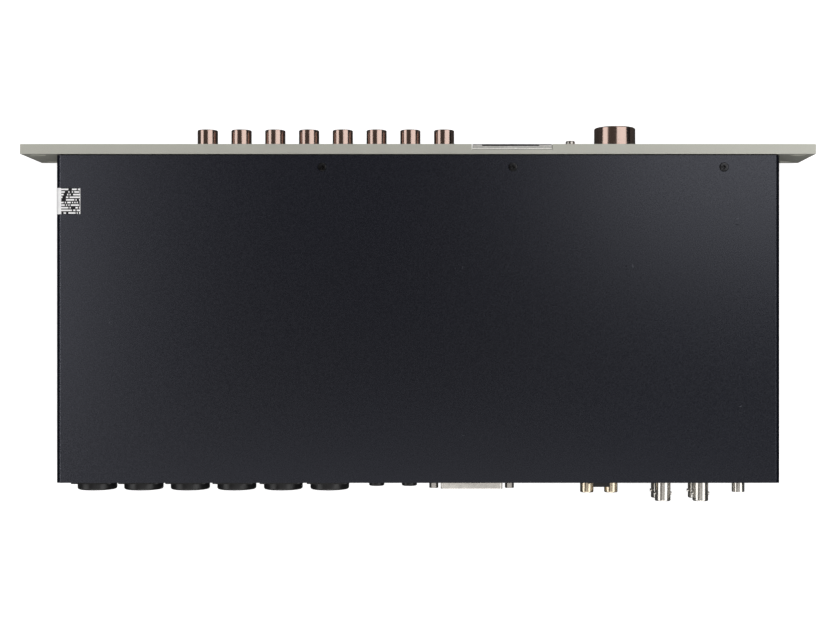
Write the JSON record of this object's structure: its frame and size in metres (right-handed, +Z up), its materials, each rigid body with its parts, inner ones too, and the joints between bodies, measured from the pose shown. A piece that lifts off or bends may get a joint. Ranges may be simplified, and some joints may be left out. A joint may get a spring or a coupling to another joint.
{
  "type": "rack-mount audio interface",
  "caption": "One-unit rack audio interface with gain knobs, a push main knob and a display window on a thick front panel, and microphone, line, digital and clock sockets on the back.",
  "frame": {"origin": "centre of the footprint, on the plane the rubber feet stand on", "axes": "+X to the right of someone facing the front panel, -Y out of the front panel, +Z up"},
  "size_m": [0.4826, 0.2302, 0.0475],
  "materials": {
    "fascia_aluminium": "satin grey-green paint on thick aluminium, edges slightly lighter",
    "zinc_steel": "zinc-coated steel sheet",
    "black_coat": "fine-textured black powder coat",
    "black_screw": "black oxide steel",
    "steel_screw": "zinc-plated steel",
    "foot_rubber": "matt black rubber",
    "label_film": "white printed film",
    "bronze_knob": "bronze-brown anodised, turned",
    "nickel_plate": "satin nickel plate",
    "gold_plate": "gold plate",
    "button_metal": "turned, bead-blasted aluminium",
    "white_plastic": "white insulating plastic",
    "clear_acrylic": "clear acrylic",
    "display_black": "dark display glass",
    "light_guide": "translucent light guide",
    "circuit_board": "green solder mask",
    "spacer_brass": "turned brass",
    "ribbon_grey": "grey ribbon",
    "pot_case": "moulded case",
    "module_case": "black painted can",
    "heat_sink_aluminium": "extruded, natural",
    "capacitor_sleeve": "shrink sleeve",
    "black_plastic": "black moulded plastic"
  },
  "bodies": {
    "unit": {"front_panel": "fascia_aluminium", "front_wall": "black_coat", "chassis_base": "zinc_steel", "rear_wall": "black_coat", "top_cover": "black_coat", "cover_studs": "black_coat", "cover_screws": "black_screw", "inner_screws": "steel_screw", "feet": "foot_rubber", "foot_screws": "steel_screw", "serial_label": "label_film", "gain_pots": "pot_case", "pot_nuts": "nickel_plate", "main_encoder": "pot_case", "panel_switches": "black_plastic", "display_window": "clear_acrylic", "display_module": "display_black", "channel_lights": "light_guide", "phones_board": "circuit_board", "front_board": "circuit_board", "main_board": "circuit_board", "board_spacers": "spacer_brass", "ribbon_cable": "ribbon_grey", "power_module": "module_case", "heat_sink": "heat_sink_aluminium", "capacitors": "capacitor_sleeve", "jack_sockets": "black_plastic", "combo_shells": "black_plastic", "combo_cores": "black_plastic", "combo_screws": "black_screw", "dsub_shell": "nickel_plate", "dsub_insert": "black_plastic", "dsub_jackscrews": "nickel_plate", "phono_shells": "gold_plate", "phono_inserts": "black_plastic", "optical_ports": "black_plastic", "data_port": "nickel_plate", "coax_shells": "nickel_plate", "coax_inserts": "white_plastic", "socket_housings": "black_plastic", "inlet_barrel": "nickel_plate", "inlet_nut": "nickel_plate", "inlet_core": "black_plastic"},
    "gain_knob_1": {"gain_knob_1": "bronze_knob"},
    "gain_knob_2": {"gain_knob_2": "bronze_knob"},
    "gain_knob_3": {"gain_knob_3": "bronze_knob"},
    "gain_knob_4": {"gain_knob_4": "bronze_knob"},
    "gain_knob_5": {"gain_knob_5": "bronze_knob"},
    "gain_knob_6": {"gain_knob_6": "bronze_knob"},
    "gain_knob_7": {"gain_knob_7": "bronze_knob"},
    "gain_knob_8": {"gain_knob_8": "bronze_knob"},
    "main_plunger": {"main_plunger": "white_plastic"},
    "main_knob": {"main_knob": "bronze_knob", "main_shaft": "nickel_plate"},
    "menu_button_top": {"menu_button_top": "button_metal"},
    "menu_button_middle": {"menu_button_middle": "button_metal"},
    "menu_button_bottom": {"menu_button_bottom": "button_metal"},
    "power_button": {"power_button": "button_metal"},
    "optical_door_top": {"optical_door_top": "black_plastic"},
    "optical_door_bottom": {"optical_door_bottom": "black_plastic"}
  },
  "joints": [
    {"name": "gain_1_turn", "type": "hinge", "parent": "unit", "child": "gain_knob_1", "pos_m": [0.1314, -0.1026, 0.0255], "axis": [0, 1, 0], "range_deg": [-150, 150]},
    {"name": "gain_2_turn", "type": "hinge", "parent": "unit", "child": "gain_knob_2", "pos_m": [0.1104, -0.1026, 0.0255], "axis": [0, 1, 0], "range_deg": [-150, 150]},
    {"name": "gain_3_turn", "type": "hinge", "parent": "unit", "child": "gain_knob_3", "pos_m": [0.0894, -0.1026, 0.0255], "axis": [0, 1, 0], "range_deg": [-150, 150]},
    {"name": "gain_4_turn", "type": "hinge", "parent": "unit", "child": "gain_knob_4", "pos_m": [0.0684, -0.1026, 0.0255], "axis": [0, 1, 0], "range_deg": [-150, 150]},
    {"name": "gain_5_turn", "type": "hinge", "parent": "unit", "child": "gain_knob_5", "pos_m": [0.0474, -0.1026, 0.0255], "axis": [0, 1, 0], "range_deg": [-150, 150]},
    {"name": "gain_6_turn", "type": "hinge", "parent": "unit", "child": "gain_knob_6", "pos_m": [0.0264, -0.1026, 0.0255], "axis": [0, 1, 0], "range_deg": [-150, 150]},
    {"name": "gain_7_turn", "type": "hinge", "parent": "unit", "child": "gain_knob_7", "pos_m": [0.0054, -0.1026, 0.0255], "axis": [0, 1, 0], "range_deg": [-150, 150]},
    {"name": "gain_8_turn", "type": "hinge", "parent": "unit", "child": "gain_knob_8", "pos_m": [-0.0156, -0.1026, 0.0255], "axis": [0, 1, 0], "range_deg": [-150, 150]},
    {"name": "main_push", "type": "slide", "parent": "unit", "child": "main_plunger", "axis": [0, 1, 0], "range_m": [0, 0.0006], "stiffness_N_per_m": 2000},
    {"name": "main_turn", "type": "hinge", "parent": "main_plunger", "child": "main_knob", "pos_m": [-0.1217, -0.1026, 0.0255], "axis": [0, 1, 0], "continuous": true},
    {"name": "menu_top_press", "type": "slide", "parent": "unit", "child": "menu_button_top", "axis": [0, 1, 0], "range_m": [0, 0.0006], "stiffness_N_per_m": 1200},
    {"name": "menu_middle_press", "type": "slide", "parent": "unit", "child": "menu_button_middle", "axis": [0, 1, 0], "range_m": [0, 0.0006], "stiffness_N_per_m": 1200},
    {"name": "menu_bottom_press", "type": "slide", "parent": "unit", "child": "menu_button_bottom", "axis": [0, 1, 0], "range_m": [0, 0.0006], "stiffness_N_per_m": 1200},
    {"name": "power_press", "type": "slide", "parent": "unit", "child": "power_button", "axis": [0, 1, 0], "range_m": [0, 0.0008], "stiffness_N_per_m": 1200},
    {"name": "optical_top_hinge", "type": "hinge", "parent": "unit", "child": "optical_door_top", "pos_m": [-0.1117, 0.1046, 0.04265], "axis": [-1, 0, 0], "range_deg": [0, 80], "stiffness_Nm_per_rad": 0.0005},
    {"name": "optical_bottom_hinge", "type": "hinge", "parent": "unit", "child": "optical_door_bottom", "pos_m": [-0.1117, 0.1046, 0.01955], "axis": [-1, 0, 0], "range_deg": [0, 80], "stiffness_Nm_per_rad": 0.0005}
  ]
}
